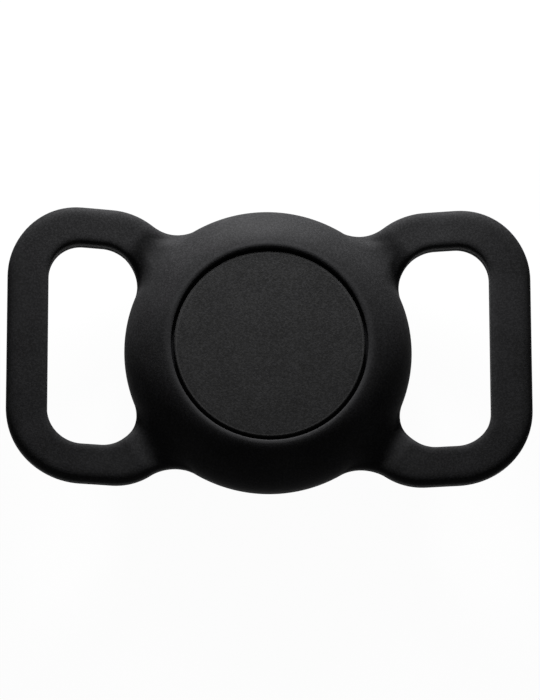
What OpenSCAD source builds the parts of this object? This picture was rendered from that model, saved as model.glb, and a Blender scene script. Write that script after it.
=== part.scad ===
// Silicone holder for a round tracker tag, with a strap loop on each side and the tag in place.
// Origin: centre of the flat closed face that it lies on. +X runs along the strap, +Z is the window side.
// The holder is one smooth moulding. Its skin is computed from the plan outline and two height rules.

/* [Ring] */
// Wall of the ring round the tag, at its rim where it is widest
ring_wall = 3.5; // [3.2:0.1:4.5]
// Height of the rim over the resting face
rim_z = 4.9; // [4.5:0.1:5.5]
// Thickness of the floor under the middle of the tag
floor_t = 2.2; // [1.9:0.05:2.6]
// Gap between the battery cover and the round window
window_gap = 0.45; // [0.3:0.05:0.7]
// Width of the rounding from the window edge to the lip crest
lip_w = 0.4; // [0.3:0.05:0.8]
// Depth of that rounding
lip_round = 0.4; // [0.3:0.05:0.8]
// Diameter of the flat resting face
flat_d = 24; // [20:0.5:28]

/* [Strap loops] */
// Length over both loops
loops_l = 70.4; // [69:0.2:76]
// Width of a loop across the strap
loop_w = 37.8; // [37:0.1:39]
// Height of the strap slot across the strap
slot_w = 27.4; // [26:0.1:28]
// Width of the bar at the outer end of a loop
end_bar = 5.5; // [4.5:0.1:6.5]
// Thickness of a loop
loop_t = 3; // [2.6:0.1:3.4]
// Edge radius on the outside of a loop
edge_r = 1.2; // [0.9:0.05:1.25]
// Edge radius round the strap slot
slot_edge_r = 0.8; // [0.5:0.05:1.1]
// Rise of the loop ends over the rim
loop_rise = 4.9; // [3:0.1:6]
// Distance from the middle at which the loops start to rise
rise_from = 9.5; // [8:0.1:12]
// Distance from the middle at which the rise ends
rise_to = 33; // [30:0.5:36]
// Distance from the ring over which the rise fades in
rise_lead = 4; // [3:0.1:6]

/* [Loop outline] */
// Radius of the outer corners
corner_r = 9.9; // [7:0.1:11]
// Radius of the outer slot corners
slot_corner_r = 4.6; // [3:0.1:6]
// Radius of the slot corners beside the ring
neck_r = 4.8; // [4.2:0.1:5.6]
// Radius of the hollow between the ring and the loop
valley_r = 5.7; // [4.8:0.1:6.5]
// Radius of the loop shoulder beside that hollow
shoulder_r = 9.2; // [8:0.1:10]
// Distance of the shoulder's centre from the middle
shoulder_x = 21.1; // [20:0.1:22]
// Fillet between the dome of the ring and the loop
blend_r = 5; // [3:0.1:6]
// Distance from the outline over which that fillet grows to its full radius
blend_lead = 2.4; // [1.5:0.1:3]

/* [Tag] */
// Width of the tag's rim round its battery cover
tag_rim = 3.15; // [2.9:0.05:3.4]
// How far the battery cover lies below the lip crest
cover_drop = 0.35; // [0.2:0.05:0.5]
// Clearance round the tag in its pocket
pocket_gap = 0.15; // [0.1:0.05:0.25]
// Height of the tag's parting line over the circuit board
split_rise = 1.6; // [1.5:0.05:1.7]
// Wall of the domed shell
shell_wall = 0.9; // [0.8:0.05:1]
// How far the battery cover reaches beyond the coin cell
cover_rim = 2.8; // [2.75:0.05:3.1]
// Thickness of the battery cover's disc
cover_t = 0.8; // [0.7:0.05:0.85]
// Edge radius of the battery cover
cover_round = 0.35; // [0.25:0.05:0.6]
// Turn that frees the bayonet tabs
unlock_turn = 30; // [28:1:36]

/* [Cell and electronics] */
// Diameter of the coin cell
cell_d = 20; // [19:0.1:21.5]
// Thickness of the coin cell
cell_h = 3.2; // [3.1:0.05:3.25]
// Height of the circuit board over the tag's domed face
board_z = 2.6; // [2.55:0.05:2.8]
// Thickness of the circuit board
board_t = 0.6; // [0.5:0.05:0.65]
// Room from the edge of the circuit board to the tag's widest place
board_inset = 2.95; // [2.7:0.05:3.4]
// Outside radius of the magnet yoke as a share of the cell's
yoke_share = 0.63; // [0.6:0.01:0.65]

/* [Hidden] */
$fn = 96;
// One overrun for every cut
over = 1;

// Clearance of pieces that slide or turn, and of pieces that only rest on each other
fit = 0.1;
slack = 0.03;
// Radii, from the cell outwards
cell_r = cell_d / 2;
cover_r = cell_r + cover_rim;
tag_r = cover_r + tag_rim;
window_r = cover_r + window_gap;
ring_r = tag_r + ring_wall;
// Heights inside the tag, from its domed face to its cover
contact_h = 0.3;
bay_floor = 0.4;
deck_z = board_z + board_t;
bay_z = deck_z + bay_floor;
cell_z = bay_z + contact_h;
cell_top = cell_z + cell_h;
cover_under = cell_top + fit;
tag_h = cover_under + cover_t;
split_z = board_z + split_rise;
// Heights of the tag and of the window lip over the resting face
tag_z = floor_t;
lip_h = tag_z + tag_h + cover_drop;

// Holder, derived
crest_r = window_r + lip_w;
flat_r = flat_d / 2;
loop_end = loops_l / 2;
loop_half = loop_w / 2;
slot_half = slot_w / 2;
slot_end = loop_end - end_bar;
land = loop_t / 2 - edge_r;
// Middle of the slot corner beside the ring, where its circle touches the ring's
neck_c = [sqrt(pow(ring_r + neck_r, 2) - pow(slot_half - neck_r, 2)), slot_half - neck_r];
neck_turn = atan2(neck_c.y, neck_c.x);
shoulder_c = [shoulder_x, loop_half - shoulder_r];
corner_c = [loop_end - corner_r, loop_half - corner_r];
slot_corner_c = [slot_end - slot_corner_r, slot_half - slot_corner_r];
// Middle of the hollow, where its circle touches the ring's and the shoulder's
valley_c = meet(shoulder_c, ring_r + valley_r, valley_r + shoulder_r);
valley_turn = atan2(valley_c.y, valley_c.x);
seam_turn = atan2(shoulder_c.y - valley_c.y, shoulder_c.x - valley_c.x);
// Directions on the neck circle and on the hollow's circle at which the loop band starts
band_turn = 165;
hollow_turn = -92;

// Steps of the skin
ring_steps = 5;
neck_steps = 3;
across_steps = 10;
valley_steps = 3;
hollow_steps = 4;
crown_steps = 6;
shoulder_steps = 6;
bar_steps = 2;
corner_steps = 9;
end_steps = 3;
lip_steps = 3;
dome_steps = 10;
base_steps = 7;
edge_steps = 6;
seal_facets = 24;

// Tag, derived
rear_drop = 0.2;
rear_z = cover_under - rear_drop;
// How far the rear curve's own top would lie over the underside of the cover
rear_crown = 0.6;
rear_rise = cover_under + rear_crown - split_z;
front_power = 2.6;
rear_power = 3.2;
profile_steps = 14;
cover_gap = 0.4;
rear_shoulder_r = cover_r + cover_gap;
bay_gap = 0.3;
bay_r = cell_r + bay_gap;
bay_wall = 0.9;
spigot_wall = 0.65;
spigot_drop = 0.8;
spigot_lead = 0.2;
spigot_z = split_z - spigot_drop;
rim_in = tag_r - shell_wall - fit;
spigot_in = rim_in - spigot_wall;
// Bayonet: the cover's skirt carries tabs that turn under as many ledges
skirt_wall = 0.45;
cell_room = 0.75;
skirt_in = cell_r + cell_room;
skirt_r = skirt_in + skirt_wall;
skirt_depth = 2.35;
skirt_z = tag_h - skirt_depth;
tab_reach = 0.65;
tab_r = skirt_r + tab_reach;
tab_h = 0.55;
tab_z = skirt_z + fit / 2;
tab_count = 3;
tab_angle = 24;
way_slack_angle = 2;
ledge_gap = 0.15;
ledge_r = skirt_r + ledge_gap;
ledge_z = tab_z + tab_h + fit;
tab_room_r = tab_r + fit;
tab_room_z = skirt_z - fit;
deck_top = tab_room_z - bay_wall;
// Seal and pad
groove_w = 0.55;
groove_h = 0.3;
groove_wall = 0.2;
seal_r = tab_room_r + groove_wall + groove_w / 2;
seal_d = 0.44;
pad_inset = 2.2;
pad_r = cell_r - pad_inset;
pad_t = 0.22;
// Cell
can_wall = 0.25;
gasket_w = 0.6;
cap_step = 0.3;
cap_inset = 1.4;
cap_foot_r = cell_r - cap_inset;
// Contacts
strip_t = 0.15;
knee_l = 3 * strip_t;
finger_w = 2.4;
finger_h = 1.8;
finger_angles = [50, 130];
notch_w = finger_w + 2 * fit;
notch_depth = 0.6;
notch_r = bay_r + notch_depth;
leaf_l = 8;
leaf_w = 2.2;
dimple_r = 1;
// Speaker
yoke_r = yoke_share * cell_r;
yoke_wall = 0.6;
yoke_base = 0.5;
yoke_h = 1.8;
air_gap = 0.5;
coil_w = 0.8;
coil_out = yoke_r - yoke_wall - air_gap;
coil_in = coil_out - coil_w;
plate_r = coil_in - air_gap;
plate_t = 0.25;
plate_lip = 0.2;
magnet_r = plate_r - plate_lip;
magnet_h = 1.2;
magnet_z = deck_z - yoke_base - magnet_h;
coil_h = 1.25;
coil_lift = 0.15;
coil_z = shell_wall + coil_lift;
// Board ring, and the parts on it: size along the radius, size across it and height
board_gap = 0.2;
board_hole_r = yoke_r + board_gap;
board_r = tag_r - board_inset;
radio_size = [4, 4, 0.6];
shield_size = [4.2, 5.5, 0.7];
memory_size = [2.4, 3, 0.5];
sensor_size = [2, 2, 0.55];
crystal_size = [1.6, 2, 0.45];
capacitor_size = [0.5, 1, 0.4];
radio_turn = 20;
shield_turn = 90;
memory_turn = 160;
sensor_turn = 215;
crystal_angles = [250, 285];
capacitor_angles = [0, 40, 58, 122, 138, 186, 198, 232, 268, 305, 320, 335];
antenna_angles = [30, 150, 270];
antenna_angle = 84;
antenna_h = deck_top - fit - spigot_z;

// Point c units away from both the middle and a point at distance d from it
function meet(p, a, b) =
    let (
        d = norm(p),
        u = p / d,
        along = (a * a - b * b + d * d) / (2 * d),
        side = sqrt(a * a - along * along)
    )
    [u.x * along - u.y * side, u.y * along + u.x * side];

function arc(c, r, from, to, n) =
    [for (i = [0:n]) c + r * [cos(from + (to - from) * i / n), sin(from + (to - from) * i / n)]];

function line(a, b, n) = [for (i = [0:n]) a + (b - a) * i / n];

function skip(v) = [for (i = [1:1:len(v) - 1]) v[i]];

function ease(u) = let (c = min(1, max(0, u))) c * c * (3 - 2 * c);

function to_segment(p, a, b) =
    let (v = b - a, t = min(1, max(0, (p - a) * v / (v * v))))
    norm(p - a - v * t);

function to_path(p, path) = min([for (i = [0:len(path) - 2]) to_segment(p, path[i], path[i + 1])]);

// Height of a rounded edge over its land at distance d from the outline
function rounded(d, r) = loop_t / 2 - r + sqrt(r * r - pow(r - min(d, r), 2));

// Plan of one quarter, as points on the outlines
ring_side = arc([0, 0], ring_r, 0, neck_turn, ring_steps);
neck_side = arc(neck_c, neck_r, 180 + neck_turn, band_turn, neck_steps);
slot_start = neck_side[neck_steps];
outer_start = valley_c + valley_r * [cos(hollow_turn), sin(hollow_turn)];
across_shares = [for (j = [0:across_steps]) (1 - cos(180 * j / across_steps)) / 2];
seam = [for (s = across_shares) slot_start + (outer_start - slot_start) * s];
valley_side = arc(valley_c, valley_r, hollow_turn, valley_turn - 180, valley_steps);
crown_side = arc([0, 0], ring_r, valley_turn, 90, crown_steps);
top_steps = hollow_steps + shoulder_steps;
slot_top = arc(neck_c, neck_r, band_turn, 90, top_steps);
slot_corner = arc(slot_corner_c, slot_corner_r, 90, 0, corner_steps);
slot_path = concat(slot_top, skip(line(slot_top[top_steps], slot_corner[0], bar_steps)),
    skip(slot_corner), skip(line(slot_corner[corner_steps], [slot_end, 0], end_steps)));
outer_top = concat(arc(valley_c, valley_r, hollow_turn, seam_turn, hollow_steps),
    skip(arc(shoulder_c, shoulder_r, seam_turn + 180, 90, shoulder_steps)));
outer_corner = arc(corner_c, corner_r, 90, 0, corner_steps);
outer_path = concat(outer_top, skip(line(outer_top[top_steps], outer_corner[0], bar_steps)),
    skip(outer_corner), skip(line(outer_corner[corner_steps], [loop_end, 0], end_steps)));
slot_edge = concat(ring_side, skip(neck_side), skip(slot_path));
outer_edge = concat([for (i = [crown_steps:-1:1]) crown_side[i]],
    [for (i = [valley_steps:-1:1]) valley_side[i]], outer_path);
ray_ends = concat(ring_side, skip(neck_side), skip(seam), skip(valley_side), skip(crown_side));

// Rise of the middle of the moulding at a place in the plan
function rise(p) =
    loop_rise * ease((p.x - rise_from) / (rise_to - rise_from)) * ease((norm(p) - ring_r) / rise_lead);

// Fillet radius at a place in the plan, none at the outline
function fillet(p) = blend_r * ease(min(to_path(p, outer_edge), to_path(p, slot_edge)) / blend_lead);

// Half the thickness of the loop, less at its rounded edges
function half_thick(p) =
    let (slot_r = edge_r + (slot_edge_r - edge_r) * ease((norm(p) - ring_r) / rise_lead))
    min(rounded(to_path(p, outer_edge), edge_r), rounded(to_path(p, slot_edge), slot_r));

// The higher of the ring's round section and the loop, with a fillet f where they meet.
// The section is an ellipse a wide and b high from radius c, and heights are taken from the land.
function blended(r, loop, c, a, b, f) =
    let (
        s = loop * a / b,
        fillet_r = c + sqrt(max(0, pow(a + f, 2) - pow(s + f, 2))),
        leave_r = c + (fillet_r - c) * a / (a + f)
    )
    r >= fillet_r ? loop
        : r <= leave_r ? b * sqrt(max(0, 1 - pow((r - c) / a, 2)))
        : (s + f - sqrt(max(0, f * f - pow(r - fillet_r, 2)))) * b / a;

function top_z(p) =
    rim_z + land
    + blended(norm(p), rise(p) + half_thick(p) - land, crest_r, ring_r - crest_r, lip_h - rim_z - land,
        fillet(p));

function base_z(p) =
    rim_z - land
    - blended(norm(p), half_thick(p) - rise(p) - land, flat_r, ring_r - flat_r, rim_z - land, fillet(p));

// Skin of the ring: one column of points on each ray, from the window well over the rim to the base
well_depth = 1.6;
well_z = lip_h - well_depth;
quarter_rays = len(ray_ends) - 1;
ray_count = 4 * quarter_rays;
seam_ray = ring_steps + neck_steps;
rim_row = 1 + lip_steps + dome_steps;
column_size = rim_row + base_steps + 2;

function column(end) =
    let (reach = norm(end), way = end / reach)
    concat(
        [[way.x * window_r, way.y * window_r, well_z]],
        [for (i = [0:lip_steps - 1])
            let (t = 90 * i / lip_steps, r = window_r + lip_w * (1 - cos(t)))
            [way.x * r, way.y * r, lip_h - lip_round * (1 - sin(t))]],
        [for (i = [0:dome_steps])
            let (p = way * (crest_r + (reach - crest_r) * sin(90 * i / dome_steps)))
            [p.x, p.y, top_z(p)]],
        [for (i = [base_steps:-1:0])
            let (p = way * (flat_r + (reach - flat_r) * sin(90 * i / base_steps)))
            [p.x, p.y, base_z(p)]]);

columns = [for (end = ray_ends) column(end)];

function ring_column(i) =
    let (
        q = floor(i / quarter_rays),
        k = i - q * quarter_rays,
        c = columns[q % 2 == 0 ? k : quarter_rays - k],
        sx = q == 0 || q == 3 ? 1 : -1,
        sy = q < 2 ? 1 : -1
    )
    [for (p = c) [sx * p.x, sy * p.y, p.z]];

// Skin of a loop: stations along the band, each from the slot to the outer edge
band_steps = len(slot_path) - 1;
stations = [for (m = [0:band_steps])
    [for (s = across_shares)
        let (p = slot_path[m] + (outer_path[m] - slot_path[m]) * s)
        [[p.x, p.y, top_z(p)], [p.x, p.y, base_z(p)]]]];

loop_points = [for (side = [1, -1], m = [1:2 * band_steps - 1], j = [0:across_steps], face = [0, 1])
    let (p = stations[m <= band_steps ? m : 2 * band_steps - m][j][face], sy = m <= band_steps ? 1 : -1)
    [side * p.x, side * sy * p.y, p.z]];

ring_points = [for (i = [0:ray_count - 1]) each ring_column(i)];
centre_points = [[0, 0, well_z], [0, 0, 0]];
well_point = len(ring_points);
base_point = well_point + 1;
loop_size = (2 * band_steps - 1) * (across_steps + 1) * 2;

function at_ring(i, row) = (i % ray_count) * column_size + row;

function at_loop(side, m, j, face) =
    m == 0 ? at_ring(seam_ray + j + side * 2 * quarter_rays, rim_row + face)
    : m == 2 * band_steps ? at_ring(ray_count - seam_ray - j + side * 2 * quarter_rays, rim_row + face)
    : base_point + 1 + side * loop_size + ((m - 1) * (across_steps + 1) + j) * 2 + face;

function on_seam(i) =
    let (q = floor(i / quarter_rays), k = i - q * quarter_rays, low = q % 2 == 0 ? k : quarter_rays - k - 1)
    low >= seam_ray && low < seam_ray + across_steps;

function quad(a, b, c, d) = [[a, b, c], [a, c, d]];

ring_faces = [for (i = [0:ray_count - 1], row = [0:column_size - 2])
    if (row != rim_row || !on_seam(i))
        each quad(at_ring(i, row), at_ring(i + 1, row), at_ring(i + 1, row + 1), at_ring(i, row + 1))];

centre_faces = [for (i = [0:ray_count - 1])
    each [[well_point, at_ring(i + 1, 0), at_ring(i, 0)],
        [base_point, at_ring(i, column_size - 1), at_ring(i + 1, column_size - 1)]]];

loop_faces = [for (side = [0, 1], m = [0:2 * band_steps - 1])
    each concat(
        [for (j = [0:across_steps - 1], face = [0, 1])
            let (
                a = at_loop(side, m, j, face),
                b = at_loop(side, m, j + 1, face),
                c = at_loop(side, m + 1, j + 1, face),
                d = at_loop(side, m + 1, j, face)
            )
            each face == 0 ? quad(a, b, c, d) : quad(a, d, c, b)],
        [for (j = [0, across_steps])
            let (
                a = at_loop(side, m, j, 0),
                b = at_loop(side, m, j, 1),
                c = at_loop(side, m + 1, j, 1),
                d = at_loop(side, m + 1, j, 0)
            )
            each j == 0 ? quad(a, d, c, b) : quad(a, b, c, d)])];

// Half outlines of the tag, from the middle of a face to the parting line
function front_arc(grow) =
    [for (i = [0:profile_steps])
        let (t = 90 * i / profile_steps)
        [(tag_r + grow) * pow(sin(t), 2 / front_power),
            split_z - (split_z + grow) * pow(cos(t), 2 / front_power)]];

function rear_arc(grow, from) =
    [for (i = [profile_steps:-1:0])
        let (
            r = tag_r + grow,
            t0 = asin(pow(from / r, rear_power / 2)),
            t = t0 + (90 - t0) * i / profile_steps
        )
        [r * pow(sin(t), 2 / rear_power), split_z + (rear_rise + grow) * pow(cos(t), 2 / rear_power)]];

module at_tag() {
    translate([0, 0, tag_z]) children();
}

// Places a part on the underside of the board, in the middle of its ring
module on_board(turn, size) {
    rotate([0, 0, turn])
        translate([(board_hole_r + board_r - size.x) / 2, -size.y / 2, board_z - size.z]) cube(size);
}

module pocket() {
    mouth_r = window_r - lip_w;
    rear = rear_arc(pocket_gap, mouth_r);
    at_tag() rotate_extrude()
        polygon(concat(front_arc(pocket_gap), skip(rear), [[0, rear[profile_steps].y]]));
}

module holder_body() {
    color("#202022") difference() {
        polyhedron(points = concat(ring_points, centre_points, loop_points),
            faces = concat(ring_faces, centre_faces, loop_faces), convexity = 6);
        pocket();
    }
}

module tag_shell() {
    inner = front_arc(-shell_wall);
    color("#2b2b2e") at_tag() rotate_extrude()
        polygon(concat(front_arc(0), [for (i = [profile_steps:-1:0]) inner[i]]));
}

module rear_housing() {
    color("#262629") at_tag() difference() {
        // Outer rim with its bored middle, and the spigot that enters the shell
        rotate_extrude() polygon(concat(
            rear_arc(0, rear_shoulder_r),
            [[rear_shoulder_r, rear_z], [ledge_r, rear_z], [ledge_r, ledge_z], [tab_room_r, ledge_z],
                [tab_room_r, tab_room_z], [bay_r, tab_room_z], [bay_r, bay_z], [0, bay_z], [0, deck_z],
                [bay_r + bay_wall, deck_z], [bay_r + bay_wall, deck_top], [spigot_in, deck_top],
                [spigot_in, spigot_z], [rim_in - spigot_lead, spigot_z], [rim_in, split_z]]));
        // Ways in for the tabs
        for (i = [0:tab_count - 1])
            rotate([0, 0, unlock_turn + i * 360 / tab_count])
                sector(tab_r + fit / 2, tab_angle + 2 * way_slack_angle,
                    tab_room_z + tab_h / 2, rear_z - tab_z + over);
        // Groove for the seal
        translate([0, 0, rear_z - groove_h]) difference() {
            cylinder(r = seal_r + groove_w / 2, h = groove_h + over);
            cylinder(r = seal_r - groove_w / 2, h = groove_h + over);
        }
        // Notches for the contact fingers
        for (turn = finger_angles)
            rotate([0, 0, turn]) translate([bay_r - bay_wall, -notch_w / 2, bay_z])
                cube([notch_r - bay_r + bay_wall, notch_w, tab_room_z - bay_z + over]);
    }
}

// Part of a cylinder that spans an angle, centred on +X
module sector(r, angle, z, h) {
    rotate([0, 0, -angle / 2]) translate([0, 0, z]) rotate_extrude(angle = angle) square([r, h]);
}

module battery_cover() {
    recess_z = cover_under + pad_t;
    color("#1d1d1f") at_tag() union() {
        // Disc with its recess for the pad, and the skirt
        rotate_extrude() polygon(concat(
            [[0, recess_z], [pad_r + fit, recess_z], [pad_r + fit, cover_under],
                [skirt_in, cover_under], [skirt_in, skirt_z], [skirt_r, skirt_z],
                [skirt_r, cover_under], [cover_r, cover_under], [cover_r, tag_h - cover_round]],
            skip(arc([cover_r - cover_round, tag_h - cover_round], cover_round, 0, 90, edge_steps)),
            [[0, tag_h]]));
        // Tabs, rooted in the middle of the skirt's wall
        for (i = [0:tab_count - 1])
            rotate([0, 0, i * 360 / tab_count - tab_angle / 2]) rotate_extrude(angle = tab_angle)
                translate([skirt_r - skirt_wall / 2, tab_z]) square([tab_reach + skirt_wall / 2, tab_h]);
    }
}

module cover_seal() {
    color("#3c3c3c") at_tag() translate([0, 0, rear_z - groove_h + seal_d / 2])
        rotate_extrude() translate([seal_r, 0]) circle(d = seal_d, $fn = seal_facets);
}

module cover_pad() {
    color("#55565a") at_tag() translate([0, 0, cover_under - slack]) cylinder(r = pad_r, h = pad_t);
}

module cell_can() {
    color("silver") at_tag() difference() {
        translate([0, 0, cell_z + can_wall]) cylinder(r = cell_r, h = cell_h - can_wall);
        translate([0, 0, cell_z]) cylinder(r = cell_r - can_wall, h = cell_h - can_wall);
    }
}

module cell_gasket() {
    color("#7a7a78") at_tag() translate([0, 0, cell_z + can_wall / 2]) difference() {
        cylinder(r = cell_r - can_wall - slack, h = cell_h - 2 * can_wall);
        translate([0, 0, -over]) cylinder(r = cell_r - can_wall - gasket_w, h = cell_h + over);
    }
}

module cell_cap() {
    cap_r = cell_r - can_wall - gasket_w - slack;
    color("#b9bcc0") at_tag() rotate_extrude() polygon([[0, cell_z], [cap_foot_r, cell_z],
        [cap_foot_r, cell_z + cap_step], [cap_r, cell_z + cap_step],
        [cap_r, cell_top - can_wall - slack], [0, cell_top - can_wall - slack]]);
}

module side_contacts() {
    back = notch_r - fit;
    bow = cell_r + slack;
    knee = back - knee_l;
    z0 = bay_z + fit / 2;
    z1 = z0 + finger_h;
    mid = (z0 + z1) / 2;
    color("#c9a24b") at_tag() for (turn = finger_angles)
        rotate([0, 0, turn]) translate([0, finger_w / 2, 0]) rotate([90, 0, 0])
            linear_extrude(height = finger_w) polygon([[back, z0], [back, z1], [knee, z1], [bow, mid],
                [knee, z0 + strip_t], [knee + strip_t, z0 + strip_t], [bow + strip_t, mid],
                [knee + strip_t, z1 - strip_t], [back - strip_t, z1 - strip_t], [back - strip_t, z0]]);
}

module centre_contact() {
    color("#c9a24b") at_tag() union() {
        translate([-leaf_l / 2, -leaf_w / 2, bay_z]) cube([leaf_l, leaf_w, strip_t]);
        translate([0, 0, bay_z]) cylinder(r = dimple_r, h = contact_h - slack);
    }
}

module circuit_board() {
    color("#1f5a3a") at_tag() translate([0, 0, board_z]) difference() {
        cylinder(r = board_r, h = board_t);
        translate([0, 0, -over]) cylinder(r = board_hole_r, h = board_t + 2 * over);
    }
}

module radio_chip() {
    color("#17171a") at_tag() on_board(radio_turn, radio_size);
}

module shield_can() {
    color("#c4c7cb") at_tag() on_board(shield_turn, shield_size);
}

module memory_chip() {
    color("#17171a") at_tag() on_board(memory_turn, memory_size);
}

module motion_sensor() {
    color("#2a2a2e") at_tag() on_board(sensor_turn, sensor_size);
}

module crystals() {
    color("#d3d5d8") at_tag() for (turn = crystal_angles) on_board(turn, crystal_size);
}

module chip_capacitors() {
    color("#a58a6a") at_tag() for (turn = capacitor_angles) on_board(turn, capacitor_size);
}

module antenna_strips() {
    out_r = spigot_in - slack;
    color("#c08a4a") at_tag() for (turn = antenna_angles)
        rotate([0, 0, turn]) difference() {
            sector(out_r, antenna_angle, spigot_z, antenna_h);
            translate([0, 0, spigot_z - over]) cylinder(r = out_r - strip_t, h = antenna_h + 2 * over);
        }
}

module magnet_yoke() {
    color("#9a9da1") at_tag() translate([0, 0, deck_z - yoke_h]) difference() {
        cylinder(r = yoke_r, h = yoke_h);
        translate([0, 0, -over]) cylinder(r = yoke_r - yoke_wall, h = yoke_h - yoke_base + over);
    }
}

module speaker_magnet() {
    color("#70747a") at_tag() translate([0, 0, magnet_z]) cylinder(r = magnet_r, h = magnet_h);
}

module pole_plate() {
    color("#9a9da1") at_tag() translate([0, 0, magnet_z - plate_t]) cylinder(r = plate_r, h = plate_t);
}

module voice_coil() {
    color("#b56a3a") at_tag() translate([0, 0, coil_z]) difference() {
        cylinder(r = coil_out, h = coil_h);
        translate([0, 0, -over]) cylinder(r = coil_in, h = coil_h + 2 * over);
    }
}

holder_body();
tag_shell();
rear_housing();
battery_cover();
cover_seal();
cover_pad();
cell_can();
cell_gasket();
cell_cap();
side_contacts();
centre_contact();
circuit_board();
radio_chip();
shield_can();
memory_chip();
motion_sensor();
crystals();
chip_capacitors();
antenna_strips();
magnet_yoke();
speaker_magnet();
pole_plate();
voice_coil();
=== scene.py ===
"""Looks of a soft moulded strap holder with a round tracker tag in its window."""

import math

import bmesh
import bpy
import numpy as np
from bpy.props import FloatProperty, FloatVectorProperty, IntProperty, PointerProperty
from bpy.types import Operator, Panel, PropertyGroup
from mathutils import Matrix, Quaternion, Vector


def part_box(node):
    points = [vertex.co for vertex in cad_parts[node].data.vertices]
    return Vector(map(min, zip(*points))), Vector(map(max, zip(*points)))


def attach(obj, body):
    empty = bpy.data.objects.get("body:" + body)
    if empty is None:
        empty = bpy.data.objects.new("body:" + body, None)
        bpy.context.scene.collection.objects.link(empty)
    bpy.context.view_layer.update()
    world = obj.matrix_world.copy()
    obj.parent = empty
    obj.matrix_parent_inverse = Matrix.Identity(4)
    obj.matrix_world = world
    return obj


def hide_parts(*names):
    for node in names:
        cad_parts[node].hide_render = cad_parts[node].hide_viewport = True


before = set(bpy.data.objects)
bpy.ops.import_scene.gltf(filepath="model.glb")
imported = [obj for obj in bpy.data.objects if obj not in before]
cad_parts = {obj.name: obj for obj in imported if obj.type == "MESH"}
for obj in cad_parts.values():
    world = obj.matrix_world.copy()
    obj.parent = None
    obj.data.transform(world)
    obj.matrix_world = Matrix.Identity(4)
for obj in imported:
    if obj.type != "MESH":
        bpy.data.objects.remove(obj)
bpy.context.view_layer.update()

bl_info = {
    "name": "Strap Holder Looks",
    "version": (1, 0, 0),
    "blender": (4, 5, 0),
    "location": "View3D > Sidebar > Holder",
    "description": "Dresses a moulded strap holder and the round tag in its window",
    "category": "Object",
}

MM = 0.001
LOOP_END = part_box("holder_body")[1].x
COVER_LOW, COVER_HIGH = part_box("battery_cover")
WHITE = (1.0, 1.0, 1.0, 1.0)

# Signs of X and Y in the four quarters.
QUARTERS = ((1, 1), (-1, 1), (-1, -1), (1, -1))

# Steps of the holder's round profile and of its two faces.
POCKET_STEPS = 28
REAR_STEPS = 20
UNDERSIDE_STEPS = 4
WALL_STEPS = 3
LIP_STEPS = 10
DOME_STEPS = 40
BASE_STEPS = 28
MERGE_DISTANCE = 0.0008 * MM

# Steps of the cover, and the rings of its flat face as shares of its radius.
COVER_SEGMENTS = 256
COVER_EDGE_STEPS = 10
COVER_RINGS = (0.93, 0.7, 0.4, 0.15)
TAB_STEPS = 8
CREASE_ANGLE = math.radians(35)
ON_AXIS = 1e-9

# Noise levels between which grain and clouds turn to bloom, and the pits' share of the relief.
GRAIN_LEVELS = (0.4, 0.66)
SILICONE_CLOUD_LEVELS = (0.38, 0.72)
COVER_CLOUD_LEVELS = (0.3, 0.8)
SILICONE_PITS = 0.35
COVER_PITS = 0.4

# Patterns on the inner pieces: sizes and depths, features per metre, and added roughness.
FLOW_SIZE = 6 * MM
PLASTIC_GRAIN_SIZE = 0.12 * MM
PLASTIC_GRAIN_ROUGHNESS = 0.06
SHELL_GRAIN_DEPTH = 0.004 * MM
HOUSING_GRAIN_DEPTH = 0.008 * MM
CHIP_GRAIN_DEPTH = 0.01 * MM
PORE_SIZE = 0.18 * MM
PORE_DEPTH = 0.02 * MM
TURNED_RINGS = 3 / MM
TURNED_RING_DEPTH = 0.002 * MM
TURNED_RING_ROUGHNESS = 0.05
PLATING_CLOUD_SIZE = 2.5 * MM
PLATING_CLOUD_ROUGHNESS = 0.06
BOARD_TRACKS = 0.9 / MM
BOARD_TRACK_DEPTH = 0.02 * MM
BOARD_MOTTLE_SIZE = 1.5 * MM
WIRE_TURNS = 1.6 / MM
WIRE_DEPTH = 0.05 * MM
WIRE_MOTTLE_SIZE = 0.8 * MM
MOTTLE_ROUGHNESS = 0.1

FLOOR_HALF = 3000 * MM
NEAR_CLIP = 10 * MM


def length(name, description, default_mm, low=0.0, high=100.0):
    """A property for one length, with its default in millimetres."""
    return FloatProperty(
        name=name,
        description=description,
        default=default_mm * MM,
        min=low * MM,
        max=high * MM,
        unit="LENGTH",
        precision=5,
    )


def angle(name, description, default_degrees):
    """A property for one angle, with its default in degrees."""
    return FloatProperty(
        name=name, description=description, default=math.radians(default_degrees), subtype="ANGLE"
    )


def fullness(name, description, default):
    """A property for the power of a superellipse, 2 for an ellipse."""
    return FloatProperty(name=name, description=description, default=default, min=1.0, max=10.0)


def ratio(name, description, default):
    """A property for a share or level from 0 to 1."""
    return FloatProperty(
        name=name, description=description, default=default, min=0.0, max=1.0, subtype="FACTOR"
    )


def tint(name, description, default):
    """A property for one colour."""
    return FloatVectorProperty(
        name=name,
        description=description,
        default=default,
        min=0.0,
        max=1.0,
        size=3,
        subtype="COLOR",
    )


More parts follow.
